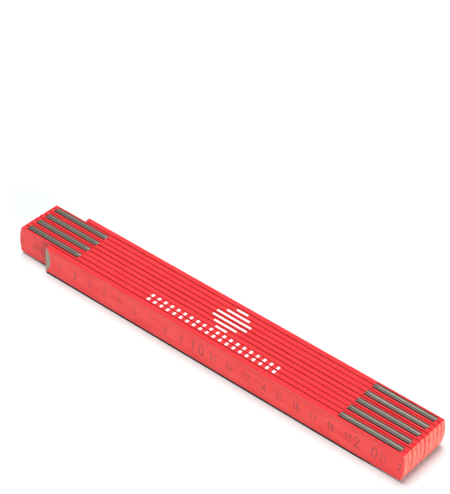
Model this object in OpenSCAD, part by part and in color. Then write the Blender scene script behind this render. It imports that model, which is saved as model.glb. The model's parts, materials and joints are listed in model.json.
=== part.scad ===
// A two-metre folding rule, folded and standing on its long edges.
// X runs along the links, Y through the stack of links, and Z up.
// The origin is in the middle of the surface that it stands on.
// Link 1 is the outermost link towards -Y. Joint 1 joins links 1 and 2, and so on.
// Odd joints are at the +X end and even joints at the -X end.

/* [Links] */
// How many links the rule has: an even number, so both free ends come out at the -X end
link_count = 10; // [4:2:10]
// Distance between the two pivots of a link, which is also what one link measures
pivot_spacing = 200; // [120:10:250]
// Width of a link, which is the height of the folded rule
link_width = 15.5; // [14:0.5:18]
// Thickness of the wood of a link
link_thickness = 3; // [2.8:0.1:4]
// Gap between the wood of one link and the next
link_gap = 0.3; // [0.3:0.05:0.6]
// How far a link runs on past its pivot
end_overhang = 21.5; // [20:0.5:26]
// Radius of the arc that a link's end is cut to
end_radius = 25; // [20:1:40]

/* [Joint plates] */
// Length of a joint plate, centred on its pivot
plate_length = 35; // [28:1:35]
// Thickness of the sheet steel
plate_sheet = 0.4; // [0.3:0.05:0.45]
// How far a folded edge reaches from the joint's middle plane
flange_reach = 1.95; // [1.6:0.05:2.4]
// Outside radius of the fold, and of the rim that is pressed into the wood
fold_radius = 0.5; // [0.5:0.05:0.6]
// Open groove between the pressed-in rim and the wood beside it
rim_groove = 0.15; // [0.05:0.05:0.3]
// Gap between the two plates of a joint
plate_clearance = 0.14; // [0.12:0.01:0.2]
// Distance of the detents from the pivot
detent_radius = 6.6; // [6:0.1:7]
// Height of a detent bump
bump_height = 0.1; // [0.05:0.01:0.1]

/* [Pivot rivets] */
// Diameter of the rivet's shank
shank_diameter = 5; // [3:0.5:6]
// Diameter of the rivet's two heads
head_diameter = 9; // [8:0.5:10]
// Thickness of a rivet head
head_height = 0.6; // [0.4:0.1:0.8]
// Running gap round the shank, in the plate that turns on it
shank_clearance = 0.05; // [0.02:0.01:0.1]

/* [End caps] */
// Thickness of the cap's sheet steel
cap_sheet = 0.35; // [0.25:0.05:0.5]
// How far the cap's rounded ears reach along the link at mid-width
ear_reach = 3.3; // [2:0.1:5]

/* [Hidden] */
$fn = 64;
joint_count = link_count - 1;
link_pitch = link_thickness + link_gap;
pivot_x = pivot_spacing / 2;
pivot_z = link_width / 2;
link_end_x = pivot_x + end_overhang;
end_arc_x = link_end_x - end_radius;
shank_radius = shank_diameter / 2;
head_radius = head_diameter / 2;
head_chamfer = head_height / 3;
// Distances from the joint's middle plane into a link
web_front = plate_clearance / 2;
web_back = web_front + plate_sheet;
// End play of the rivet, and the room that its heads have in the wood
rivet_play = 0.03;
pocket_room = 0.2;
recess_room = 0.05;
detents = 4;
bump_base_radius = 0.9;
bump_top_radius = 0.5;
dimple_room = 0.1;
fold_steps = 4;
ear_radius = (pow(pivot_z, 2) + pow(ear_reach, 2)) / (2 * ear_reach);
ear_centre_x = ear_reach - ear_radius - pivot_x;
over = 1;
wood_color = [0.86, 0.20, 0.21];
steel_color = [0.60, 0.58, 0.54];

function two_digits(i) = str(i < 10 ? "0" : "", i);
function link_name(i) = str("link_", two_digits(i));
function near_plate_name(k) = str("joint_", k, "_near_plate");
function far_plate_name(k) = str("joint_", k, "_far_plate");
function rivet_name(k) = str("joint_", k, "_rivet");
function cap_name(i) = str("end_cap_", two_digits(i));
function link_y(i) = (i - (link_count + 1) / 2) * link_pitch;
function joint_y(k) = link_y(k) + link_pitch / 2;
function joint_x(k) = k % 2 == 1 ? pivot_x : -pivot_x;
function is_outer(i) = i == 1 || i == link_count;

// Puts a shape at joint k. The shape's own Y runs from the joint's middle plane into the far link,
// or, mirrored, into the near one.
module at_joint(k, near = false) {
    translate([joint_x(k), joint_y(k), pivot_z])
        mirror([0, near ? 1 : 0, 0])
            children();
}

// Extrudes a Y-Z outline along X, centred.
module along_x(length) {
    rotate([90, 0, 90]) linear_extrude(length, center = true) children();
}

// A cylinder or cone along Y, from y_from to y_to.
module round_y(y_from, y_to, radius, radius_to = undef) {
    translate([0, y_from, 0])
        rotate([-90, 0, 0])
            cylinder(h = y_to - y_from, r1 = radius, r2 = is_undef(radius_to) ? radius : radius_to);
}

// The four detent places round the pivot.
module at_detents() {
    for (turn = [0:detents - 1])
        rotate([0, 45 + turn * 360 / detents, 0])
            translate([detent_radius, 0, 0]) children();
}

// ---- Joint plate: a web against the other plate, with both long edges folded over the wood ----

// Points on a round stretch about [y, z], from one angle to the other.
function arc(y, z, radius, turn_from, turn_to) = [
    for (step = [0:fold_steps])
        let (turn = turn_from + (turn_to - turn_from) * step / fold_steps)
        [y + radius * cos(turn), z + radius * sin(turn)]
];
function upside_down(points) = [for (i = [len(points) - 1:-1:0]) [points[i][0], -points[i][1]]];

// The outer side of the sheet: up the web, over the fold, and down the rim.
fold_z = pivot_z - fold_radius;
rim_y = flange_reach - fold_radius;
sheet_outside = concat(
    arc(web_front + fold_radius, fold_z, fold_radius, 180, 90),
    arc(rim_y, fold_z, fold_radius, 90, 0)
);
// The inner side, which bears on the wood: back up the rim, along under the flange, and down the web.
inside_radius = fold_radius - plate_sheet;
sheet_inside = concat(
    arc(rim_y, fold_z, inside_radius, 0, 90),
    arc(web_front + fold_radius, fold_z, inside_radius, 90, 180)
);
plate_outline = concat(
    sheet_outside,
    sheet_inside,
    upside_down(sheet_inside),
    upside_down(sheet_outside)
);

// What the wood loses for a plate: everything in front of the web and outside the folded edges.
groove_y = flange_reach + rim_groove;
recess_side = concat(
    [[-over, pivot_z + over], [groove_y, pivot_z + over], [groove_y, fold_z]],
    sheet_inside
);
recess_outline = concat(recess_side, upside_down(recess_side));

module near_plate(k) {
    color(steel_color)
        at_joint(k, near = true)
            difference() {
                along_x(plate_length) polygon(plate_outline);
                round_y(-over, web_back + over, shank_radius);
                at_detents()
                    round_y(web_front - bump_height, web_front + bump_height,
                        bump_base_radius + 2 * dimple_room, bump_top_radius + dimple_room);
            }
}

module far_plate(k) {
    color(steel_color)
        at_joint(k)
            difference() {
                union() {
                    along_x(plate_length) polygon(plate_outline);
                    at_detents()
                        round_y(web_front - bump_height, web_front + bump_height,
                            bump_top_radius, 2 * bump_base_radius - bump_top_radius);
                }
                round_y(-over, web_back + over, shank_radius + shank_clearance);
            }
}

// ---- Pivot rivet: fixed in the near plate, with both heads hidden in the wood ----

far_head_y = web_back + rivet_play;
rivet_outline = [
    [0, -web_back - head_height],
    [head_radius - head_chamfer, -web_back - head_height],
    [head_radius, -web_back - head_height + head_chamfer],
    [head_radius, -web_back],
    [shank_radius, -web_back],
    [shank_radius, far_head_y],
    [head_radius, far_head_y],
    [head_radius, far_head_y + head_height - head_chamfer],
    [head_radius - head_chamfer, far_head_y + head_height],
    [0, far_head_y + head_height]
];

module rivet(k) {
    color(steel_color)
        at_joint(k)
            rotate([-90, 0, 0]) rotate_extrude() polygon(rivet_outline);
}

// ---- End cap: a bent strip over the free end, with a rounded ear on each broad face ----

module cap_outside(i) {
    intersection() {
        translate([-pivot_x, link_y(i) - link_thickness / 2, 0])
            cube([2 * ear_reach, link_thickness, link_width]);
        translate([ear_centre_x, link_y(i), pivot_z])
            round_y(-link_thickness, link_thickness, ear_radius);
    }
}

module cap_inside(i) {
    translate([cap_sheet - pivot_x, link_y(i) - link_thickness / 2 + cap_sheet, -over])
        cube([3 * ear_reach, link_thickness - 2 * cap_sheet, link_width + 2 * over]);
}

module end_cap(i) {
    color(steel_color)
        difference() {
            cap_outside(i);
            cap_inside(i);
        }
}

// ---- Link: a wooden lath with arched ends, cut back for its plates, rivet heads and cap ----

module link_blank(i) {
    start_x = is_outer(i) ? -pivot_x : -link_end_x;
    intersection() {
        translate([start_x, link_y(i) - link_thickness / 2, 0])
            cube([link_end_x - start_x, link_thickness, link_width]);
        union() {
            for (side = [-1, 1])
                translate([side * end_arc_x, link_y(i), pivot_z])
                    round_y(-link_thickness, link_thickness, end_radius);
            translate([-end_arc_x, link_y(i) - link_thickness, -over])
                cube([2 * end_arc_x, 2 * link_thickness, link_width + 2 * over]);
        }
    }
}

module joint_recess() {
    along_x(plate_length + 2 * recess_room) polygon(recess_outline);
    round_y(0, web_back + rivet_play + head_height + pocket_room, head_radius + pocket_room);
}

module link(i) {
    color(wood_color)
        difference() {
            link_blank(i);
            if (i > 1) at_joint(i - 1) joint_recess();
            if (i < link_count) at_joint(i, near = true) joint_recess();
            if (is_outer(i)) end_cap(i);
        }
}

for (i = [1:link_count]) link(i);
for (k = [1:joint_count]) near_plate(k);
for (k = [1:joint_count]) far_plate(k);
for (k = [1:joint_count]) rivet(k);
for (i = [1, link_count]) end_cap(i);
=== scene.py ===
# %% [markdown]
# # A carpenter's folding rule
#
# The real rule is two metres of thin wooden links, lacquered red and riveted end to end.
# Folded, the ten links lie side by side and stand on their long edges.
# The measured model already holds every size and every joint, so this script only adds looks.
# Each step below says what a piece is on the real rule, how it could be made, and why it is made this way.

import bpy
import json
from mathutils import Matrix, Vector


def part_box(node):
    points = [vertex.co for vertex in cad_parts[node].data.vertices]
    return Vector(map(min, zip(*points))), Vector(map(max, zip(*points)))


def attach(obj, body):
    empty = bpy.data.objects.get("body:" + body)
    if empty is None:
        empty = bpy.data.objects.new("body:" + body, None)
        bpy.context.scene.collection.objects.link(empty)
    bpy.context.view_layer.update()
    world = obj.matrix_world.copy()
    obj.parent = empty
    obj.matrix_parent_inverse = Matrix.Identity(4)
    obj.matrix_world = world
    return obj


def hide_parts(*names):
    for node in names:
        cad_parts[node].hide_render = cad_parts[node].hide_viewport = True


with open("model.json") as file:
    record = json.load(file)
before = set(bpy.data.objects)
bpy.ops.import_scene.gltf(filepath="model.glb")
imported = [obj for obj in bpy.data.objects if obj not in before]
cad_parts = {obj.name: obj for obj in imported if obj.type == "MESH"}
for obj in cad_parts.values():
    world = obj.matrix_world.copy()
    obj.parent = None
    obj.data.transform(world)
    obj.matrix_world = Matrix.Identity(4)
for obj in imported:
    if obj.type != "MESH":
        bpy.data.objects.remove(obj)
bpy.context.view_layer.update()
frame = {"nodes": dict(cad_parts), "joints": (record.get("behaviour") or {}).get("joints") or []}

# %% [markdown]
# Next come the tools. bpy holds the scene, bmesh builds meshes point by point, and mathutils
# turns and moves them. The noise from mathutils gives small irregularities that never change.

# %% Bring in the modelling tools
import json
import math

import bmesh
import bpy
from mathutils import Matrix, Vector, noise

# %% [markdown]
# ## Sizes
#
# A Blender scene is in metres, but a rule maker thinks in millimetres.
# The pieces are therefore drawn in millimetres and shrunk once, when each becomes an object.
# Widths and places are read from the measured model, so they can't drift away from it.

# %% Read the sizes
MM = 0.001


def box_mm(node):
    """A measured node's lowest and highest corner, in millimetres."""
    low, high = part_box(node)
    return low / MM, high / MM


first_low, first_high = box_mm("link_01")
link_names = sorted(name for name in frame["nodes"] if name.startswith("link_"))
link_count = len(link_names)
half_width = (first_high.z - first_low.z) / 2
half_thickness = (first_high.y - first_low.y) / 2
link_reach = first_high.x
pivot_x = abs(frame["joints"][0]["pos_m"][0]) / MM
end_radius = 25.0
print(link_count, "links,", round(2 * half_width, 2), "mm wide,", round(2 * half_thickness, 2), "mm thick")


def link_middle(link):
    """The middle of a link's thickness and width, in millimetres."""
    low, high = box_mm(f"link_{link:02d}")
    return Vector((0, (low.y + high.y) / 2, half_width))


def pivot_place(joint):
    """Where a joint's pivot is, in millimetres, on the plane between its two plates."""
    return Vector(frame["joints"][joint - 1]["pos_m"]) / MM


def pivot_side(joint):
    """+1 for a joint at the +X end and -1 for one at the -X end."""
    return 1 if pivot_place(joint).x > 0 else -1


# %% [markdown]
# ## Camera
#
# The camera comes first, because every later choice is judged through it.
# A long lens from about a metre away keeps the links nearly parallel, as in a catalogue picture.
# The camera is set by angles round the rule, which are easier to reason about than a raw position.

# %% Set up the camera
camera_azimuth = math.radians(37.1)
camera_elevation = math.radians(37.9)
camera_roll = math.radians(3.9)
camera_distance = 0.900
camera_lens = 134.7
camera_reach = 20.0
camera_target = Vector((-0.0173, 0.0233, 0.0373))

toward_camera = Vector((
    math.sin(camera_azimuth) * math.cos(camera_elevation),
    -math.cos(camera_azimuth) * math.cos(camera_elevation),
    math.sin(camera_elevation),
))
camera_data = bpy.data.cameras.new("camera")
camera_data.lens = camera_lens
camera_data.clip_end = camera_reach
camera = bpy.data.objects.new("camera", camera_data)
bpy.context.scene.collection.objects.link(camera)
camera.location = camera_target + toward_camera * camera_distance
camera.rotation_mode = "QUATERNION"
aim = (-toward_camera).to_track_quat("-Z", "Y")
camera.rotation_quaternion = aim @ Matrix.Rotation(camera_roll, 3, "Z").to_quaternion()
bpy.context.scene.camera = camera
print("camera is", round(camera_distance, 2), "m from its target")

# %% [markdown]
# ## From outline to solid
#
# Nearly everything on this rule is a flat shape with a thickness: a lath, a sheet, a cap.
# Blender could bevel a box, but a bevel doesn't know which edges were sanded and which were sawn.
# Here a flat outline is stacked in rings instead, and the rings near each face are drawn in a little,
# which gives a rounded rim of an exact radius.

# %% Helpers that build solids
def outward_normals(outline):
    """The unit normal at each point of a closed outline that runs anticlockwise."""
    normals = []
    for i, point in enumerate(outline):
        before = outline[i - 1]
        after = outline[(i + 1) % len(outline)]
        run = Vector((after[0] - before[0], after[1] - before[1]))
        normals.append(Vector((run.y, -run.x)).normalized())
    return normals


def inset(outline, amount, shares=None):
    """The same outline, drawn in by amount, or by each point's own share of it."""
    shares = shares or [1.0] * len(outline)
    return [
        (point[0] - normal.x * amount * share, point[1] - normal.y * amount * share)
        for point, normal, share in zip(outline, outward_normals(outline), shares)
    ]


def skin_rings(rings):
    """A closed bmesh whose surface runs over a list of equally long rings of points."""
    bm = bmesh.new()
    loops = [[bm.verts.new(point) for point in ring] for ring in rings]
    count = len(rings[0])
    for lower, upper in zip(loops, loops[1:]):
        for i in range(count):
            j = (i + 1) % count
            bm.faces.new((lower[i], lower[j], upper[j], upper[i]))
    bm.faces.new(list(reversed(loops[0])))
    bm.faces.new(loops[-1])
    bmesh.ops.recalc_face_normals(bm, faces=bm.faces)
    return bm


def rounded_slab(outline, y_from, y_to, rounding, steps=3, shares=None):
    """An X-Z outline made as thick as y_from to y_to, with its rims rounded, less so where shares say."""
    turns = [math.radians(90 * step / steps) for step in range(steps + 1)]
    layers = [(rounding * (1 - math.sin(t)), rounding * (1 - math.cos(t))) for t in turns]
    rings = []
    for drawn_in, depth in layers:
        rings.append([(x, y_from + depth, z) for x, z in inset(outline, drawn_in, shares)])
    for drawn_in, depth in reversed(layers):
        rings.append([(x, y_to - depth, z) for x, z in inset(outline, drawn_in, shares)])
    return skin_rings(rings)


def prism_y(outline, y_from, y_to):
    """An X-Z outline made as thick as y_from to y_to, with sharp rims."""
    return skin_rings([[(x, y, z) for x, z in outline] for y in (y_from, y_to)])


def circle_outline(x, z, radius, points=48):
    """A circle as an outline."""
    turns = [2 * math.pi * i / points for i in range(points)]
    return [(x + radius * math.cos(t), z + radius * math.sin(t)) for t in turns]


def arc(x, z, radius, turn_from, turn_to, steps=5):
    """Points along an arc, with its angles in degrees."""
    turns = [math.radians(turn_from + (turn_to - turn_from) * i / steps) for i in range(steps + 1)]
    return [(x + radius * math.cos(t), z + radius * math.sin(t)) for t in turns]


# %% [markdown]
# ## Cutting one solid with another
#
# A joiner cuts recesses with a router, and a sheet-metal worker punches holes.
# Blender's boolean modifier does the same with a second solid as the tool.
# The cut is made at once, while everything is still in millimetres, because the solver
# is happiest with numbers that aren't tiny.

# %% Helpers that cut solids and finish pieces
def loose_object(bm, name):
    """A bmesh as a new object in the scene, still in millimetres."""
    mesh = bpy.data.meshes.new(name)
    bm.to_mesh(mesh)
    bm.free()
    made = bpy.data.objects.new(name, mesh)
    bpy.context.scene.collection.objects.link(made)
    return made


def carve(piece, tool_bm, operation="DIFFERENCE"):
    """Cuts a tool out of a piece, or joins it on, and throws the tool away."""
    tool = loose_object(tool_bm, "tool")
    step = piece.modifiers.new("carve", "BOOLEAN")
    step.object = tool
    step.operation = operation
    step.solver = "EXACT"
    graph = bpy.context.evaluated_depsgraph_get()
    carved = bpy.data.meshes.new_from_object(piece.evaluated_get(graph))
    piece.modifiers.clear()
    piece.data = carved
    bpy.data.objects.remove(tool)


def finish_piece(piece, place_mm, material, body, sharp_degrees=35):
    """Shrinks a piece to metres, puts it in place, shades it, and makes it ride on its body."""
    mesh = piece.data
    mesh.transform(Matrix.Scale(MM, 4))
    mesh.materials.clear()
    mesh.materials.append(material)
    mesh.polygons.foreach_set("use_smooth", [True] * len(mesh.polygons))
    mesh.set_sharp_from_angle(angle=math.radians(sharp_degrees))
    piece.location = Vector(place_mm) * MM
    normals = piece.modifiers.new("even_normals", "WEIGHTED_NORMAL")
    normals.keep_sharp = True
    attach(piece, body)
    return piece


# %% [markdown]
# ## Materials
#
# A finish is built from what the eye reads first: its colour, then how even the colour is,
# then how light slides over it. Every finish here starts from noise that is stretched along
# the rule, because wood grain and the drawing marks on steel strip both run that way.
# The noise is looked up in each piece's own coordinates, so it moves with the piece.

# %% Helpers for node materials
piece_shift = (3.0, 5.0, 7.0)


def start_material(name, metallic=0.0):
    """A new material with its node tree and its main shader."""
    material = bpy.data.materials.new(name)
    material.use_nodes = True
    tree = material.node_tree
    shader = tree.nodes["Principled BSDF"]
    shader.inputs["Metallic"].default_value = metallic
    return material, tree, shader


def piece_coordinates(tree):
    """Each piece's own coordinates, in metres from its middle, and its own normal."""
    source = tree.nodes.new("ShaderNodeTexCoord")
    return source.outputs["Object"], source.outputs["Normal"]


def shifted_per_piece(tree, place):
    """Coordinates pushed along by a different amount on each piece, so no two share their grain."""
    info = tree.nodes.new("ShaderNodeObjectInfo")
    shift = tree.nodes.new("ShaderNodeVectorMath")
    shift.operation = "MULTIPLY_ADD"
    tree.links.new(info.outputs["Random"], shift.inputs[0])
    shift.inputs[1].default_value = piece_shift
    tree.links.new(place, shift.inputs[2])
    return shift.outputs["Vector"]


# %% [markdown]
# The nodes below are the same few each time, so each gets a function with plain words for its name.
# A finish then reads like a recipe, and no node is wired by hand twice.

# %% Helpers that work out shader values
def stretched_noise(tree, place, stretch, detail=3.0):
    """Noise with its own number of cells per metre along X, Y and Z."""
    mapping = tree.nodes.new("ShaderNodeMapping")
    mapping.inputs["Scale"].default_value = stretch
    tree.links.new(place, mapping.inputs["Vector"])
    texture = tree.nodes.new("ShaderNodeTexNoise")
    texture.inputs["Scale"].default_value = 1.0
    texture.inputs["Detail"].default_value = detail
    tree.links.new(mapping.outputs["Vector"], texture.inputs["Vector"])
    return texture.outputs["Fac"]


def remap(tree, value, low, high, to_low=0.0, to_high=1.0):
    """A value between low and high, turned smoothly into one between to_low and to_high."""
    ramp = tree.nodes.new("ShaderNodeMapRange")
    ramp.interpolation_type = "SMOOTHSTEP"
    tree.links.new(value, ramp.inputs["Value"])
    ramp.inputs["From Min"].default_value = low
    ramp.inputs["From Max"].default_value = high
    ramp.inputs["To Min"].default_value = to_low
    ramp.inputs["To Max"].default_value = to_high
    return ramp.outputs["Result"]


def calculate(tree, operation, first, second=None):
    """One step of arithmetic on shader values. Each may be a number or another node's value."""
    step = tree.nodes.new("ShaderNodeMath")
    step.operation = operation
    for socket, value in zip(step.inputs, (first, second)):
        if isinstance(value, (int, float)):
            socket.default_value = value
        elif value is not None:
            tree.links.new(value, socket)
    return step.outputs["Value"]


def blend_colors(tree, amount, first, second):
    """The first colour turning into the second as amount goes from 0 to 1."""
    mix = tree.nodes.new("ShaderNodeMix")
    mix.data_type = "RGBA"
    tree.links.new(amount, mix.inputs["Factor"])
    for socket, color in ((mix.inputs[6], first), (mix.inputs[7], second)):
        if isinstance(color, tuple):
            socket.default_value = (*color, 1.0)
        else:
            tree.links.new(color, socket)
    return mix.outputs[2]


def add_bump(tree, shader, height, depth):
    """Raises the surface by up to depth, in metres, where height is 1."""
    bump = tree.nodes.new("ShaderNodeBump")
    bump.inputs["Strength"].default_value = 1.0
    bump.inputs["Distance"].default_value = depth
    tree.links.new(height, bump.inputs["Height"])
    tree.links.new(bump.outputs["Normal"], shader.inputs["Normal"])


# %% [markdown]
# ## Red lacquer on wood
#
# The wood is sprayed with one thin, glossy red coat. The grain still shows as fine lengthwise
# streaks. The lacquer gathers along the sanded arrises, where it looks deeper, and it sinks into
# the sawn ends, where pale streaks of end grain come through. A paler, patchy colour on the broad faces is a
# painted sheen.
# A picture texture could show this, but noise and a little geometry stay sharp at any distance.

# %% Red lacquer
lacquer_red = (0.78, 0.022, 0.031)
lacquer_deep = (0.66, 0.012, 0.018)
lacquer_gathered = (0.54, 0.008, 0.015)
# The paler broad-face colour below is a painted sheen
lacquer_painted_sheen = (0.80, 0.066, 0.062)
end_grain_pale = (0.88, 0.200, 0.145)
end_grain_red = (0.82, 0.095, 0.072)
# How many cells of noise lie in a metre along X, Y and Z
grain_cells = (45.0, 1500.0, 1500.0)
cloud_cells = (60.0, 240.0, 240.0)
fleck_cells = (700.0, 2600.0, 2600.0)
end_streak_cells = (300.0, 2400.0, 330.0)
# Where the lacquer starts to gather and is deepest, in millimetres from the face and from the edge
gather_from_face = (0.55, 0.1)
gather_from_edge = (0.6, 0.05)
deepest = 0.55
lacquer_roughness = (0.30, 0.44)
lacquer_specular = 0.22
lacquer_coat = 0.05
lacquer_coat_roughness = 0.22
lacquer_relief = 0.05 * MM


def make_lacquer():
    """Red lacquer with a paler painted sheen on the broad faces, that gathers on the arrises and sinks into
    the ends.
    """
    material, tree, shader = start_material("red_lacquer")
    place, normal = piece_coordinates(tree)
    shifted = shifted_per_piece(tree, place)
    grain = stretched_noise(tree, shifted, grain_cells, 4.0)
    cloud = stretched_noise(tree, shifted, cloud_cells, 3.0)
    fleck = stretched_noise(tree, shifted, fleck_cells, 2.0)

    streaks = remap(tree, grain, 0.42, 0.72, 0.0, deepest)
    patches = remap(tree, cloud, 0.35, 0.75, 0.0, deepest)
    depth = calculate(tree, "MAXIMUM", streaks, patches)
    body_color = blend_colors(tree, depth, lacquer_red, lacquer_deep)

    axes = tree.nodes.new("ShaderNodeSeparateXYZ")
    tree.links.new(place, axes.inputs["Vector"])
    from_face = calculate(tree, "ABSOLUTE", axes.outputs["Y"])
    from_edge = calculate(tree, "ABSOLUTE", axes.outputs["Z"])
    face_band = [(half_thickness - room) * MM for room in gather_from_face]
    edge_band = [(half_width - room) * MM for room in gather_from_edge]
    near_face = remap(tree, from_face, *face_band)
    near_edge = remap(tree, from_edge, *edge_band)
    on_arris = calculate(tree, "MULTIPLY", near_face, near_edge)
    gathered = calculate(tree, "MULTIPLY", on_arris, remap(tree, fleck, 0.3, 0.7, 0.6, 1.0))
    arris_color = blend_colors(tree, gathered, body_color, lacquer_gathered)

    facing = tree.nodes.new("ShaderNodeSeparateXYZ")
    tree.links.new(normal, facing.inputs["Vector"])
    on_end = remap(tree, calculate(tree, "ABSOLUTE", facing.outputs["X"]), 0.45, 0.85)
    broad = remap(tree, calculate(tree, "ABSOLUTE", facing.outputs["Y"]), 0.6, 0.95)
    # Painted sheen: the broad faces are blended towards a paler colour, patchy with the cloud noise
    faded = calculate(tree, "MULTIPLY", broad, remap(tree, cloud, 0.25, 0.75, 1.0, 0.45))
    flat_color = blend_colors(tree, faded, arris_color, lacquer_painted_sheen)
    end_streaks = stretched_noise(tree, shifted, end_streak_cells, 4.0)
    end_color = blend_colors(tree, remap(tree, end_streaks, 0.36, 0.64), end_grain_pale, end_grain_red)
    tree.links.new(blend_colors(tree, on_end, flat_color, end_color), shader.inputs["Base Color"])

    tree.links.new(remap(tree, cloud, 0.3, 0.7, *lacquer_roughness), shader.inputs["Roughness"])
    shader.inputs["Specular IOR Level"].default_value = lacquer_specular
    shader.inputs["Coat Weight"].default_value = lacquer_coat
    shader.inputs["Coat Roughness"].default_value = lacquer_coat_roughness
    relief = calculate(tree, "ADD", calculate(tree, "MULTIPLY", grain, 0.8), fleck)
    add_bump(tree, shader, relief, lacquer_relief)
    return material


red_lacquer = make_lacquer()
print("made", red_lacquer.name)

# %% [markdown]
# ## Steel strip
#
# The joint plates are pressed from bright cold-rolled strip. It is never mirror clean: it has
# drawing lines along its length and a grey-brown film of oil. A lighter colour along the folds is a
# painted highlight, and a dark colour on the pressed-in rims, strongest on the near plate of each joint, is
# painted shade.
# One recipe makes all the steel pieces, with a different colour and roughness for each.

# %% Steel
# A dark colour painted on the rims, which is painted shade in their grooves
rim_painted_shade = (0.030, 0.026, 0.020)
# Where the painted rim shade and the painted fold highlight start and end, in millimetres from the pivot
# plane
near_rim = (1.15, 1.42)
far_rim = (1.62, 1.85)
fold_band = (0.35, 1.25)
far_rim_share = 0.7
rim_roughness = 0.75
oiliest = 0.7
film_cells = (260.0, 900.0, 260.0)
speck_cells = (1500.0, 3000.0, 1500.0)
steel_relief = 0.01 * MM
# A lighter colour along the folds, which is a painted highlight
fold_painted_highlight = (0.24, 0.215, 0.185)


def make_steel(name, clean, stained, roughness_range, line_cells, paints_fold_highlight_and_rim_shade=False):
    """Steel with drawing lines and an uneven film of oil and, where asked, a painted highlight along the fold
    and painted shade on the rims.
    """
    material, tree, shader = start_material(name, metallic=1.0)
    place, _ = piece_coordinates(tree)
    shifted = shifted_per_piece(tree, place)
    lines = stretched_noise(tree, shifted, line_cells, 3.0)
    film = stretched_noise(tree, shifted, film_cells, 4.0)
    specks = stretched_noise(tree, shifted, speck_cells, 2.0)
    broken = remap(tree, specks, 0.25, 0.75, 0.5, 1.0)
    stain = calculate(tree, "MULTIPLY", remap(tree, film, 0.35, 0.70), broken)
    info = tree.nodes.new("ShaderNodeObjectInfo")
    oiliness = remap(tree, info.outputs["Random"], 0.0, 1.0, 0.0, oiliest)
    color = blend_colors(tree, calculate(tree, "MAXIMUM", stain, oiliness), clean, stained)
    if paints_fold_highlight_and_rim_shade:
        # Painted light: a lighter colour near the fold for its highlight, and a dark colour on the rims for
        # the shade in their grooves, strongest on the near plate
        axes = tree.nodes.new("ShaderNodeSeparateXYZ")
        tree.links.new(place, axes.inputs["Vector"])
        from_pivot = calculate(tree, "ABSOLUTE", axes.outputs["Y"])
        off_fold = remap(tree, from_pivot, fold_band[0] * MM, fold_band[1] * MM)
        color = blend_colors(tree, off_fold, fold_painted_highlight, color)
        toward_near = calculate(tree, "MULTIPLY", axes.outputs["Y"], -1.0)
        on_near_rim = remap(tree, toward_near, near_rim[0] * MM, near_rim[1] * MM)
        on_far_rim = remap(tree, axes.outputs["Y"], far_rim[0] * MM, far_rim[1] * MM, 0.0, far_rim_share)
        on_rim = calculate(tree, "MAXIMUM", on_near_rim, on_far_rim)
        color = blend_colors(tree, on_rim, color, rim_painted_shade)
    tree.links.new(color, shader.inputs["Base Color"])
    polish = remap(tree, lines, 0.3, 0.7, *roughness_range)
    if paints_fold_highlight_and_rim_shade:
        polish = calculate(tree, "MAXIMUM", polish, calculate(tree, "MULTIPLY", on_rim, rim_roughness))
    tree.links.new(polish, shader.inputs["Roughness"])
    relief = calculate(tree, "ADD", lines, calculate(tree, "MULTIPLY", specks, 0.4))
    add_bump(tree, shader, relief, steel_relief)
    return material


strip_clean = (0.21, 0.185, 0.155)
strip_stained = (0.12, 0.10, 0.08)
strip_roughness = (0.32, 0.48)
strip_lines = (30.0, 3600.0, 3600.0)
strip_steel = make_steel("strip_steel", strip_clean, strip_stained, strip_roughness, strip_lines, True)
wire_clean = (0.60, 0.58, 0.55)
wire_stained = (0.42, 0.39, 0.35)
wire_roughness = (0.28, 0.42)
wire_lines = (900.0, 900.0, 900.0)
wire_steel = make_steel("wire_steel", wire_clean, wire_stained, wire_roughness, wire_lines)
cap_clean = (0.42, 0.37, 0.30)
cap_stained = (0.28, 0.24, 0.19)
cap_roughness = (0.34, 0.50)
cap_lines = (2600.0, 2600.0, 120.0)
cap_metal = make_steel("cap_metal", cap_clean, cap_stained, cap_roughness, cap_lines)
print("made", strip_steel.name, wire_steel.name, cap_metal.name)

# %% [markdown]
# ## Printed ink
#
# The scale is printed in a dark red-brown that rubs away with use, so it is strong in some
# places and nearly gone in others. The edge mark is an off-white print.

# %% Inks
rub_cells = (260.0, 900.0, 420.0)
speckle_cells = (3200.0, 3200.0, 3200.0)
ink_relief = 0.01 * MM


def make_ink(name, strong, faded, roughness):
    """A print that is strong in some places and rubbed thin in others."""
    material, tree, shader = start_material(name)
    place, _ = piece_coordinates(tree)
    shifted = shifted_per_piece(tree, place)
    rub = stretched_noise(tree, shifted, rub_cells, 4.0)
    speckle = stretched_noise(tree, shifted, speckle_cells, 2.0)
    broken = remap(tree, speckle, 0.3, 0.7, 0.55, 1.0)
    wear = calculate(tree, "MULTIPLY", remap(tree, rub, 0.38, 0.66), broken)
    tree.links.new(blend_colors(tree, wear, strong, faded), shader.inputs["Base Color"])
    shader.inputs["Roughness"].default_value = roughness
    add_bump(tree, shader, speckle, ink_relief)
    return material


ink_brown = (0.235, 0.026, 0.032)
ink_rubbed = (0.62, 0.040, 0.048)
scale_ink = make_ink("scale_ink", ink_brown, ink_rubbed, roughness=0.42)
print_white = (0.90, 0.84, 0.83)
print_rubbed = (0.94, 0.55, 0.55)
edge_print = make_ink("edge_print", print_white, print_rubbed, roughness=0.5)
print("made", scale_ink.name, edge_print.name)

# %% [markdown]
# ## The section of a joint plate
#
# Each joint has two plates of thin steel, back to back. A plate covers the link's inner face,
# and both long edges are folded over the wood. The rim of each fold is pressed down into a groove.
# The section is worked out once here, because the wood has to be cut to it as well.

# %% Plate section
plate_low, plate_high = box_mm("joint_1_far_plate")
plate_sheet = 0.4
web_front = 0.07
fold_radius = 0.5
rim_groove = 0.15
flange_reach = plate_high.y - pivot_place(1).y
half_plate = (plate_high.x - plate_low.x) / 2
print("a plate is", round(2 * half_plate, 2), "mm long and folds", round(flange_reach, 2), "mm over the wood")


def upside_down(points):
    """The mirror image of a stretch of outline, below the middle, in reverse order."""
    return [(y, -z) for y, z in reversed(points)]


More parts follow.
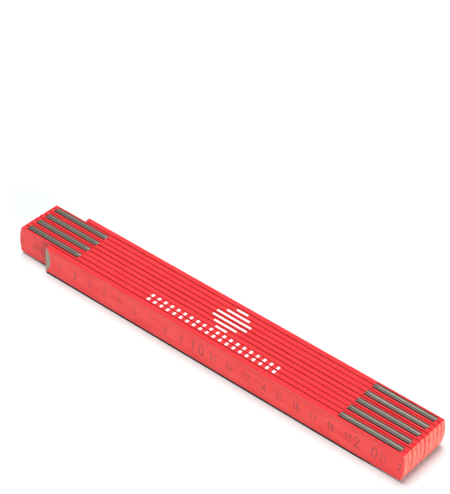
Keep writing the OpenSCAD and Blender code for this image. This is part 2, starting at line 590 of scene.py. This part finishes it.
def sheet_sides(steps):
    """The outer and inner side of the sheet's upper half, as Y-Z points from the pivot plane."""
    fold_z = half_width - fold_radius
    fold_y = web_front + fold_radius
    rim_y = flange_reach - fold_radius
    inside_radius = fold_radius - plate_sheet
    outside = arc(fold_y, fold_z, fold_radius, 180, 90, steps)
    outside += arc(rim_y, fold_z, fold_radius, 90, 0, steps)
    inside = arc(rim_y, fold_z, inside_radius, 0, 90, steps)
    inside += arc(fold_y, fold_z, inside_radius, 90, 180, steps)
    return outside, inside


def plate_section(steps=5):
    """The closed Y-Z section of a plate, whose Y runs from the pivot plane into its link."""
    outside, inside = sheet_sides(steps)
    return outside + inside + upside_down(inside) + upside_down(outside)


def recess_section():
    """What a link loses for its plate: all that lies in front of the web and above the flanges."""
    beyond = 1.0
    above = half_width + beyond
    groove_y = flange_reach + rim_groove
    _, inside = sheet_sides(4)
    upper = [(-beyond, above), (groove_y, above), (groove_y, half_width - fold_radius)]
    upper += inside
    return upper + upside_down(upper)


def along_x(section, stations, mirror):
    """A Y-Z section carried along X. Each station is an X and how far the section is drawn in there."""
    rings = []
    for x, drawn_in in stations:
        rings.append([(x, mirror * y, z) for y, z in inset(list(reversed(section)), drawn_in)])
    return skin_rings(rings)


# %% [markdown]
# ## The wooden links
#
# A link is a planed lath with an arched end past each pivot. The two outer links have one square
# end, which is the zero of the scale. Real laths are never quite straight or quite alike, so each
# outline waves by a few hundredths of a millimetre and each arch ends a little sooner or later.
# The gaps between the links differ too. Without that, ten links look like one block with lines.

# %% Link outlines
arris_radius = 0.35
end_arris_share = 0.25
corner_radius = 0.7
square_corner_radius = 0.5
sanding_wave = 0.05
waves_per_mm = 0.03
length_spread = 0.24
standing_proud = (1, 6)
end_steps = 8
# Multipliers that set the links apart in the noise, so that no two come out alike
link_seed = 5.7
row_seed = 3.1
end_seeds = (3.3, 4.1, 0.7)
gap_rooms = (0.24, 0.18, 0.08, 0.22, 0.28, 0.36, 0.14, 0.14, 0.24)


def wave(along, link, row):
    """A slow unevenness along a link, between about -1 and 1."""
    return noise.noise(Vector((along * waves_per_mm, link * link_seed, row * row_seed)))


def face_y(link, side):
    """How far a broad face is from the middle of its link. side is -1 or +1."""
    gap = link - 2 if side < 0 else link - 1
    room = gap_rooms[gap] if 0 <= gap < len(gap_rooms) else 0.0
    return side * (half_thickness - room / 2)


def has_square_end(link, side):
    """True at the two free ends, which are the -X ends of the outer links."""
    return side < 0 and link in (1, link_count)


def end_x(link, side, z):
    """Where a link ends, at height z from its middle."""
    if has_square_end(link, side):
        return -pivot_x
    place = Vector((link * end_seeds[0], side * end_seeds[1], end_seeds[2]))
    shorter = length_spread * (0.5 + 0.5 * noise.noise(place))
    if link in standing_proud:
        shorter = 0.0
    return side * (link_reach - shorter - end_radius + math.sqrt(end_radius**2 - z**2))


def link_end(link, side):
    """The points of one end, running anticlockwise round the outline."""
    corner = square_corner_radius if has_square_end(link, side) else corner_radius
    corner_z = half_width - corner
    start, finish = (-90, 0) if side > 0 else (90, 180)
    first_z = -corner_z if side > 0 else corner_z
    first_x = end_x(link, side, corner_z) - side * corner
    points = arc(first_x, first_z, corner, start, finish, 4)
    heights = [first_z * (1 - i / end_steps) for i in range(1, 2 * end_steps)]
    points += [(end_x(link, side, z), z) for z in heights]
    points += arc(first_x, -first_z, corner, finish, finish + 90, 4)
    return points


def link_outline(link):
    """A link's whole X-Z outline, anticlockwise, about its middle."""
    right = link_end(link, 1)
    left = link_end(link, -1)
    steps = 36
    outline = list(right)
    for row, (start, finish) in enumerate(((right[-1], left[0]), (left[-1], right[0]))):
        if row == 1:
            outline += left
        for i in range(1, steps):
            x = start[0] + (finish[0] - start[0]) * i / steps
            fade = math.sin(math.pi * i / steps)
            lift = sanding_wave * fade * wave(x, link, row)
            inward = -1 if row == 0 else 1
            outline.append((x, start[1] + inward * abs(lift)))
    return outline


print("link 1 has", len(link_outline(1)), "points in its outline")


# %% [markdown]
# The plate's recess and the rivet's pocket are cut with the same section and the same sizes as the
# measured model, so that the steel sits in the wood and nothing meets the neighbouring link.

# %% Cut a joint into a link
pocket_radius = 4.7
pocket_depth = 1.3
recess_room = 0.05


def joints_of(link):
    """The joints that a link takes part in, with +1 where its plate is on its +Y face."""
    found = []
    if link > 1:
        found.append((link - 1, -1))
    if link < link_count:
        found.append((link, 1))
    return found


def cut_joint(piece, link, joint, face):
    """Cuts the recess and the rivet pocket for one joint into a link."""
    place = pivot_place(joint) - link_middle(link)
    half_recess = half_plate + recess_room
    recess = along_x(recess_section(), [(-half_recess, 0), (half_recess, 0)], -face)
    bmesh.ops.translate(recess, verts=recess.verts, vec=place)
    carve(piece, recess)
    pocket_from = place.y
    pocket_to = place.y - face * pocket_depth
    low, high = sorted((pocket_from, pocket_to))
    pocket = prism_y(circle_outline(place.x, 0, pocket_radius), low, high)
    carve(piece, pocket)


# %% [markdown]
# An outer link also loses the shell of its steel cap. The cap's rounded ear is one arc across the
# link's full width, so its radius follows from that width and from how far the ear reaches.

# %% Make the links
cap_sheet = 0.35
sleeve_beyond = 8
cap_low, cap_high = box_mm("end_cap_01")
ear_reach = cap_high.x - cap_low.x
ear_radius = (half_width**2 + ear_reach**2) / (2 * ear_reach)
ear_middle_x = -pivot_x + ear_reach - ear_radius


def ear_outline(beyond=0, steps=28):
    """The rounded ear of an end cap: a straight outer edge and an arc that goes on beyond it."""
    half_turn = math.degrees(math.asin(half_width / ear_radius)) + beyond
    return arc(ear_middle_x, 0, ear_radius, -half_turn, half_turn, steps)


def cap_hollow():
    """The space inside a cap, which the link's tongue fills."""
    inner = half_thickness - cap_sheet
    left = -pivot_x + cap_sheet
    right = -pivot_x + 2 * ear_reach
    tall = half_width + 2
    return prism_y([(left, -tall), (right, -tall), (right, tall), (left, tall)], -inner, inner)


def arris_shares(outline):
    """1 along the long edges, and less round the ends, which are sawn and barely sanded."""
    return [1.0 if abs(normal.x) < 0.5 else end_arris_share for normal in outward_normals(outline)]


def make_link(link):
    """One lath, cut for its joints and, on an outer link, for its cap."""
    outline = link_outline(link)
    shares = arris_shares(outline)
    bm = rounded_slab(outline, face_y(link, -1), face_y(link, 1), arris_radius, 3, shares)
    piece = loose_object(bm, f"lath_{link:02d}")
    for joint, face in joints_of(link):
        cut_joint(piece, link, joint, face)
    if link in (1, link_count):
        shell = prism_y(ear_outline(sleeve_beyond), -2 * half_thickness, 2 * half_thickness)
        sleeve = loose_object(shell, "sleeve")
        carve(sleeve, cap_hollow())
        tool = bmesh.new()
        tool.from_mesh(sleeve.data)
        bpy.data.objects.remove(sleeve)
        carve(piece, tool)
    finish_piece(piece, link_middle(link), red_lacquer, f"segment_{link:02d}")
    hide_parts(f"link_{link:02d}")
    return piece


laths = [make_link(link) for link in range(1, link_count + 1)]
print("made", len(laths), "laths with", sum(len(p.data.polygons) for p in laths), "faces")

# %% [markdown]
# ## The joint plates
#
# The two plates of a joint turn against each other. One has four shallow bumps and the other four
# dimples, which the fingers feel as clicks at each quarter turn. The bumps are joined on and the
# dimples and the rivet hole are cut, as a press tool would do it.

# %% Make the plates
shank_radius = 2.5
shank_clearance = 0.05
detent_radius = 6.6
detent_height = 0.1
bump_radii = (0.5, 1.3)
dimple_radii = (0.6, 1.1)
plate_edge = 0.07
edge_break = 0.02
stations_along = (-15, -11, -7, -3, 3, 7, 11, 15)
plate_dip = 0.05
dips_per_mm = 0.11
joint_seed = 2.9


def cone_y(x, z, y_from, y_to, radius_from, radius_to, points=24):
    """A short cone along Y."""
    rings = []
    for y, radius in ((y_from, radius_from), (y_to, radius_to)):
        rings.append([(px, y, pz) for px, pz in circle_outline(x, z, radius, points)])
    return skin_rings(rings)


def detent_places():
    """The four bump places round the pivot."""
    turns = [math.radians(45 + 90 * i) for i in range(4)]
    return [(detent_radius * math.cos(t), detent_radius * math.sin(t)) for t in turns]


def plate_stations():
    """Places along a plate, with the cut ends drawn in a little."""
    ends = [(half_plate, plate_edge), (half_plate - edge_break, edge_break), (half_plate - plate_edge, 0)]
    inner = [(x, 0) for x in stations_along]
    return [(-x, d) for x, d in ends] + inner + list(reversed(ends))


def make_plate(joint, far):
    """One joint plate. far is True for the plate on the link towards +Y."""
    mirror = 1 if far else -1
    side = "far" if far else "near"
    bm = along_x(plate_section(), plate_stations(), mirror)
    for vertex in bm.verts:
        over_flange = max(0.0, abs(vertex.co.z) - (half_width - fold_radius)) / fold_radius
        place = Vector((vertex.co.x * dips_per_mm, joint * joint_seed, mirror))
        dip = plate_dip * over_flange * abs(noise.noise(place))
        vertex.co.z -= math.copysign(dip, vertex.co.z)
    piece = loose_object(bm, f"{side}_plate_{joint}")
    hole_radius = shank_radius + (shank_clearance if far else 0)
    carve(piece, prism_y(circle_outline(0, 0, hole_radius), -1, 1))
    for x, z in detent_places():
        if far:
            bump = cone_y(x, z, web_front - detent_height, web_front + detent_height, *bump_radii)
            carve(piece, bump, "UNION")
        else:
            dimple = cone_y(x, z, -web_front - detent_height, -web_front + detent_height, *dimple_radii)
            carve(piece, dimple)
    link = joint + 1 if far else joint
    finish_piece(piece, pivot_place(joint), strip_steel, f"segment_{link:02d}")
    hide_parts(f"joint_{joint}_{side}_plate")
    return piece


plates = [make_plate(joint, far) for joint in range(1, link_count) for far in (False, True)]
print("made", len(plates), "joint plates")

# %% [markdown]
# ## The pivot rivets
#
# The rivets are hidden between the links, and their measured shape is already right: a shank
# with two chamfered heads. They stay as they are, and only get a steel finish.

# %% Finish the rivets
for joint in range(1, link_count):
    rivet = frame["nodes"][f"joint_{joint}_rivet"]
    rivet.data.materials.clear()
    rivet.data.materials.append(wire_steel)
print("finished", link_count - 1, "rivets")

# %% [markdown]
# ## The end caps
#
# A free end would bruise, so it is shod with a strip of steel. The strip goes round the end and
# ends in a rounded ear on each broad face, let into the wood so that nothing catches.

# %% Make the end caps
cap_rounding = 0.12


def make_cap(link):
    """A steel cap: a rounded slab in the shape of the ears, hollowed for the link's tongue."""
    slab = rounded_slab(ear_outline(), -half_thickness, half_thickness, cap_rounding, 2)
    piece = loose_object(slab, f"cap_{link:02d}")
    carve(piece, cap_hollow())
    finish_piece(piece, link_middle(link), cap_metal, f"segment_{link:02d}")
    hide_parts(f"end_cap_{link:02d}")
    return piece


caps = [make_cap(link) for link in (1, link_count)]
print("made", len(caps), "end caps")

# %% [markdown]
# ## Numerals
#
# The numbers are drawn with a pen of constant width, as on an engraved rule, so each numeral is
# a path and not an outline. A text object would bring a whole typeface with it. A few lines and
# arcs in a box one unit wide and one tall are enough, and a ribbon is laid along them.

# %% Numeral paths
def bend(x, y, reach_x, reach_y, turn_from, turn_to, steps=9):
    """Points along part of an ellipse, with its angles in degrees."""
    turns = [math.radians(turn_from + (turn_to - turn_from) * i / steps) for i in range(steps + 1)]
    return [(x + reach_x * math.cos(t), y + reach_y * math.sin(t)) for t in turns]


def closed(points):
    """Marks a path as a loop."""
    return ("loop", points[:-1])


def opened(points):
    """Marks a path as open at both ends."""
    return ("line", points)


six = [
    closed(bend(0, 0.31, 0.5, 0.31, 0, 360, 18)),
    opened([(-0.5, 0.31)] + bend(0.15, 0.45, 0.65, 0.55, 180, 95, 7) + [(0.32, 1.0)]),
]
numerals = {
    "0": [closed(bend(0, 0.66, 0.5, 0.34, 0, 180) + bend(0, 0.34, 0.5, 0.34, 180, 360) + [(0.5, 0.66)])],
    "1": [opened([(0.12, 0.0), (0.12, 1.0)]), opened([(-0.34, 0.74), (0.12, 1.0)])],
    "2": [opened(bend(0, 0.72, 0.48, 0.28, 165, -30) + [(-0.46, 0.0)]), opened([(-0.5, 0.0), (0.5, 0.0)])],
    "3": [
        opened(bend(0, 0.76, 0.43, 0.24, 150, -90, 9) + [(-0.14, 0.52)]),
        opened(bend(0, 0.26, 0.5, 0.26, 80, -150, 9)),
    ],
    "4": [
        opened([(0.2, 0.0), (0.2, 1.0)]),
        opened([(0.2, 1.0), (-0.5, 0.27)]),
        opened([(-0.5, 0.27), (0.5, 0.27)]),
    ],
    "5": [
        opened([(0.42, 1.0), (-0.38, 1.0)]),
        opened([(-0.38, 1.0), (-0.42, 0.54)]),
        opened(bend(0, 0.32, 0.5, 0.32, 140, -150, 11)),
    ],
    "6": six,
    "7": [opened([(-0.5, 1.0), (0.5, 1.0)]), opened([(0.5, 1.0), (-0.12, 0.0)])],
    "8": [closed(bend(0, 0.76, 0.42, 0.24, 0, 360, 16)), closed(bend(0, 0.26, 0.5, 0.26, 0, 360, 16))],
    "9": [(kind, [(-x, 1 - y) for x, y in points]) for kind, points in six],
}
print("drew", len(numerals), "numerals")

# %% [markdown]
# A stroke is laid as a flat ribbon with a left and a right side, a skin just proud of the wood and
# a root just inside it. Two surfaces in the very same place flicker, so nothing is left flush.

# %% Lay a ribbon of ink along a path
def pen_ends(points, half_pen):
    """A path with its two ends carried on by half the pen's width, so that strokes meet squarely."""
    first, second = Vector(points[0]), Vector(points[1])
    last, before = Vector(points[-1]), Vector(points[-2])
    start = first + (first - second).normalized() * half_pen
    finish = last + (last - before).normalized() * half_pen
    return [start] + [Vector(point) for point in points[1:-1]] + [finish]


def ribbon_sides(points, looped, half_pen):
    """The left and right side of a pen stroke along a path."""
    path = [Vector(point) for point in points] if looped else pen_ends(points, half_pen)
    count = len(path)
    left, right = [], []
    for i, here in enumerate(path):
        before = path[i - 1] if looped or i > 0 else here
        after = path[(i + 1) % count] if looped or i < count - 1 else here
        along = (after - before).normalized()
        across = Vector((-along.y, along.x)) * half_pen
        left.append(here + across)
        right.append(here - across)
    return left, right


def add_slab(bm, skin, root):
    """A thin closed slab of ink between two equally long rings of points."""
    upper = [bm.verts.new(point) for point in skin]
    lower = [bm.verts.new(point) for point in root]
    count = len(upper)
    bm.faces.new(upper)
    bm.faces.new(list(reversed(lower)))
    for i in range(count):
        j = (i + 1) % count
        bm.faces.new((upper[j], upper[i], lower[i], lower[j]))


def add_stroke(bm, kind, points, half_pen, y_skin, y_root):
    """A pen stroke as one closed ribbon of ink."""
    looped = kind == "loop"
    left, right = ribbon_sides(points, looped, half_pen)
    rows = []
    for y, side in ((y_skin, left), (y_skin, right), (y_root, right), (y_root, left)):
        rows.append([bm.verts.new((p.x, y, p.y)) for p in side])
    count = len(points)
    for i in range(count if looped else count - 1):
        j = (i + 1) % count
        for row, next_row in zip(rows, rows[1:] + rows[:1]):
            bm.faces.new((row[i], row[j], next_row[j], next_row[i]))
    if not looped:
        bm.faces.new([row[0] for row in rows])
        bm.faces.new([row[-1] for row in reversed(rows)])


# %% [markdown]
# ## The scale
#
# Both broad faces of every link carry a scale, and the numbers run on from link to link when the
# rule is opened out. Each next link lies the other way round in the folded stack, so its numbers
# stand on their heads. The front face counts from link 1 and the back face from the last link.
# Nothing is printed where a steel plate covers the wood.

# %% Where the scale runs
ink_skin = 0.012
ink_root = 0.01
ink_layer = 0.004
tick_half_pen = 0.07
tick_start = half_width - 0.45
tick_lengths = {10: 3.6, 5: 2.8, 1: 2.0}
printed_from_pivot = 18.6
room_at_end = 0.9
room_at_cap = 0.6


def scale_reach(link, front):
    """The lowest and highest X that a face's scale may cover."""
    low = -link_reach + room_at_end
    high = link_reach - room_at_end
    if has_square_end(link, -1):
        low = -pivot_x + ear_reach + room_at_cap
    for joint, face in joints_of(link):
        if (face < 0) == front:
            if pivot_side(joint) > 0:
                high = pivot_x - printed_from_pivot
            elif not has_square_end(link, -1):
                low = -pivot_x + printed_from_pivot
    return low, high


def reading(link, front):
    """How a face reads: its place in the opened rule, and +1 where its numbers grow towards +X."""
    place = link if front else link_count + 1 - link
    toward_x = 1 if place % 2 == 1 else -1
    return place, toward_x


def millimetre_marks(link, front):
    """Every millimetre of a face's scale as its distance along the rule and its X."""
    place, toward_x = reading(link, front)
    low, high = scale_reach(link, front)
    start = 2 * pivot_x * (place - 1)
    marks = []
    for x in range(math.ceil(low), math.floor(high) + 1):
        distance = round(start + pivot_x + toward_x * x)
        if 0 < distance < link_count * 2 * pivot_x:
            marks.append((distance, x))
    return marks


print("link 1's front face has", len(millimetre_marks(1, True)), "millimetre marks")


# %% [markdown]
# Whole decimetres are printed larger, and their digits stand apart on either side of the mark.

# %% Print the scale
small_numeral = {"tall": 4.0, "wide": 1.3, "pitch": 2.3, "half_pen": 0.24}
large_numeral = {"tall": 5.9, "wide": 2.3, "pitch": 5.3, "half_pen": 0.33}
parted_pitches = {2: 10.0, 3: 5.0}
close_pitch = 4.2


def digit_places(centimetres):
    """The digits of a number, each with how far it stands from the mark."""
    digits = str(centimetres)
    style = large_numeral if centimetres % 10 == 0 else small_numeral
    pitch = style["pitch"]
    if centimetres % 20 == 0:
        pitch = parted_pitches[len(digits)]
    elif centimetres % 10 == 0 and len(digits) == 3:
        pitch = close_pitch
    first = -pitch * (len(digits) - 1) / 2
    return style, [(digit, first + i * pitch) for i, digit in enumerate(digits)]


def print_number(bm, centimetres, x, text_right, text_up, y_skin, y_root, low, high):
    """Prints one number on a face, centred on its mark. Digits that don't fit are left off."""
    style, places = digit_places(centimetres)
    for digit, offset in places:
        middle = x + text_right * offset
        room = style["wide"] / 2 + style["half_pen"]
        if middle - room < low or middle + room > high:
            continue
        for layer, (kind, points) in enumerate(numerals[digit]):
            laid = [
                (middle + text_right * px * style["wide"], text_up * (py - 0.5) * style["tall"])
                for px, py in points
            ]
            raised = math.copysign(layer * ink_layer, y_skin)
            add_stroke(bm, kind, laid, style["half_pen"], y_skin + raised, y_root)


def print_face(bm, link, front):
    """Prints every mark and number of one broad face."""
    outward = -1 if front else 1
    y_skin = face_y(link, outward) + outward * ink_skin
    y_root = face_y(link, outward) - outward * ink_root
    _, toward_x = reading(link, front)
    text_up = toward_x if front else -toward_x
    low, high = scale_reach(link, front)
    for distance, x in millimetre_marks(link, front):
        size = 10 if distance % 10 == 0 else 5 if distance % 5 == 0 else 1
        for edge in (-1, 1):
            top = edge * tick_start
            tip = edge * (tick_start - tick_lengths[size])
            left, right = x - tick_half_pen, x + tick_half_pen
            corners = [(left, top), (right, top), (right, tip), (left, tip)]
            add_slab(bm, [(px, y_skin, pz) for px, pz in corners], [(px, y_root, pz) for px, pz in corners])
        if distance % 10 == 0:
            print_number(bm, distance // 10, x, toward_x, text_up, y_skin, y_root, low, high)


def make_scale(link):
    """The prints on both broad faces of a link, as one piece."""
    bm = bmesh.new()
    print_face(bm, link, True)
    print_face(bm, link, False)
    bmesh.ops.recalc_face_normals(bm, faces=bm.faces)
    piece = loose_object(bm, f"scale_{link:02d}")
    return finish_piece(piece, link_middle(link), scale_ink, f"segment_{link:02d}")


scales = [make_scale(link) for link in range(1, link_count + 1)]
print("printed", len(scales), "scales with", sum(len(p.data.polygons) for p in scales), "faces")

# %% [markdown]
# ## A plain mark on the edges
#
# Rules like this often carry a printed mark across the folded edges. This one is only a row of
# plain bars and a plain stepped diamond. It is split where the links part, so that it comes
# apart when the rule is opened, as a real print does.

# %% Print the edge mark
edge_root = 0.1
bar_half_width = 1.0
bar_length = 1.5
bar_pitch = 4.1
bar_links = (2, 3)
bar_from = -36.0
bar_count = 20
diamond_half_width = 0.65
diamond_links = (4, 5, 6, 7, 8, 9)
diamond_middle = 5.0
diamond_step = 7.0


def edge_bars(link):
    """The X ranges that are printed on a link's upper edge."""
    if link in bar_links:
        starts = [bar_from + i * bar_pitch for i in range(bar_count)]
        return [(start, start + bar_length) for start in starts]
    if link in diamond_links:
        rank = diamond_links.index(link)
        half_length = diamond_step * (min(rank, len(diamond_links) - 1 - rank) + 1) / 2
        return [(diamond_middle - half_length, diamond_middle + half_length)]
    return []


def make_edge_mark(link):
    """The bars on one link's upper edge. They reach deeper than the scale, as the edge is wavy."""
    bm = bmesh.new()
    z_skin = half_width + ink_skin
    z_root = half_width - edge_root
    reach = bar_half_width if link in bar_links else diamond_half_width
    for start, finish in edge_bars(link):
        corners = [(start, -reach), (finish, -reach), (finish, reach), (start, reach)]
        add_slab(bm, [(x, y, z_skin) for x, y in corners], [(x, y, z_root) for x, y in corners])
    bmesh.ops.recalc_face_normals(bm, faces=bm.faces)
    piece = loose_object(bm, f"edge_mark_{link:02d}")
    return finish_piece(piece, link_middle(link), edge_print, f"segment_{link:02d}")


edge_marks = [make_edge_mark(link) for link in bar_links + diamond_links]
print("printed", len(edge_marks), "edge marks")

# %% [markdown]
# ## Floor and light
#
# The rule stands on a plain pale sheet, which is large because the opened rule is two metres long.
# A sheet of paper has a fine tooth, so its tint varies a little too.

# %% Floor
floor_size = 16.0
floor_height = -1.1
floor_pale = (0.75, 0.80, 0.80)
floor_paler = (0.78, 0.83, 0.83)
floor_roughness = 0.8
floor_specular = 0.2
tooth_cells = (900.0, 900.0, 900.0)


def make_floor():
    """A large flat sheet just below the rule."""
    bm = bmesh.new()
    bmesh.ops.create_grid(bm, x_segments=2, y_segments=2, size=floor_size / 2)
    floor = loose_object(bm, "floor")
    floor.location.z = floor_height * MM
    material, tree, shader = start_material("pale_floor")
    place, _ = piece_coordinates(tree)
    tooth = stretched_noise(tree, place, tooth_cells, 2.0)
    tree.links.new(blend_colors(tree, tooth, floor_pale, floor_paler), shader.inputs["Base Color"])
    shader.inputs["Roughness"].default_value = floor_roughness
    shader.inputs["Specular IOR Level"].default_value = floor_specular
    floor.data.materials.append(material)
    return floor


make_floor()
print("the floor is", floor_size, "m wide")

# %% [markdown]
# A thin dark contact shadow shows under a rule where it stands on a table. It is painted here with a strip
# of black card under the first link, which gives it a known height. The card belongs to the stage
# and not to the rule, and it stays hidden when the other links swing away.

# %% Dark card under the first link
card_inset = 0.15
card_room = 0.04
card_left_room = 0.5
card_taper = (23.5, 7.5)
card_taper_depth = 1.1
# The card's near-black colour is painted shadow
painted_shadow_black = (0.006, 0.004, 0.004)
painted_shadow_grey = (0.014, 0.010, 0.010)
card_roughness = 0.9
fibre_cells = (800.0, 3000.0, 3000.0)


def make_shadow_card():
    """A thin strip of black card under the first link that stands in for its contact shadow, tapering at its
    right end.
    """
    near = link_middle(1).y - half_thickness + card_inset
    far = link_middle(1).y + half_thickness - card_inset
    left = -pivot_x + card_left_room
    taper_from = link_reach - card_taper[0]
    taper_to = link_reach - card_taper[1]
    outline = [(left, near), (taper_from, near), (taper_to, near + card_taper_depth)]
    outline += [(taper_to, far), (left, far)]
    bm = skin_rings([[(x, y, z) for x, y in outline] for z in (floor_height, -card_room)])
    card = loose_object(bm, "shadow_card")
    material, tree, shader = start_material("painted_shadow_card")
    place, _ = piece_coordinates(tree)
    fibre = stretched_noise(tree, place, fibre_cells, 2.0)
    tree.links.new(blend_colors(tree, fibre, painted_shadow_black, painted_shadow_grey), shader.inputs["Base Color"])
    shader.inputs["Roughness"].default_value = card_roughness
    card.data.materials.append(material)
    card.data.transform(Matrix.Scale(MM, 4))
    return card


make_shadow_card()
print("the card lifts the rule", -floor_height, "mm off the floor")

# %% [markdown]
# The light is a bright tent with three large soft panels: one high above, a low one on the near
# right for the broad face, and a dim one behind, which is what the polished edges mirror. They are
# metres away, so that the opened rule is lit as evenly as the folded one.

# %% Lights
def add_panel(name, place, width, height, watts):
    """A soft rectangular lamp that looks at the rule."""
    data = bpy.data.lights.new(name, "AREA")
    data.shape = "RECTANGLE"
    data.size = width
    data.size_y = height
    data.energy = watts
    lamp = bpy.data.objects.new(name, data)
    bpy.context.scene.collection.objects.link(lamp)
    lamp.location = place
    lamp.rotation_euler = (-Vector(place)).to_track_quat("-Z", "Y").to_euler()
    return lamp


add_panel("high_panel", place=(-0.6, 0.0, 3.9), width=2.4, height=1.8, watts=152.0)
add_panel("low_panel", place=(3.95, -2.0, 0.9), width=2.8, height=1.4, watts=186.0)
add_panel("back_panel", place=(-2.2, 2.9, 2.8), width=4.2, height=3.4, watts=38.0)

tent_strength = 0.26
world = bpy.data.worlds.new("tent")
bpy.context.scene.world = world
world.use_nodes = True
tent = world.node_tree.nodes["Background"]
tent.inputs["Color"].default_value = (1.0, 1.0, 1.0, 1.0)
tent.inputs["Strength"].default_value = tent_strength
bpy.context.scene.view_settings.view_transform = "Standard"
print("lights are up")
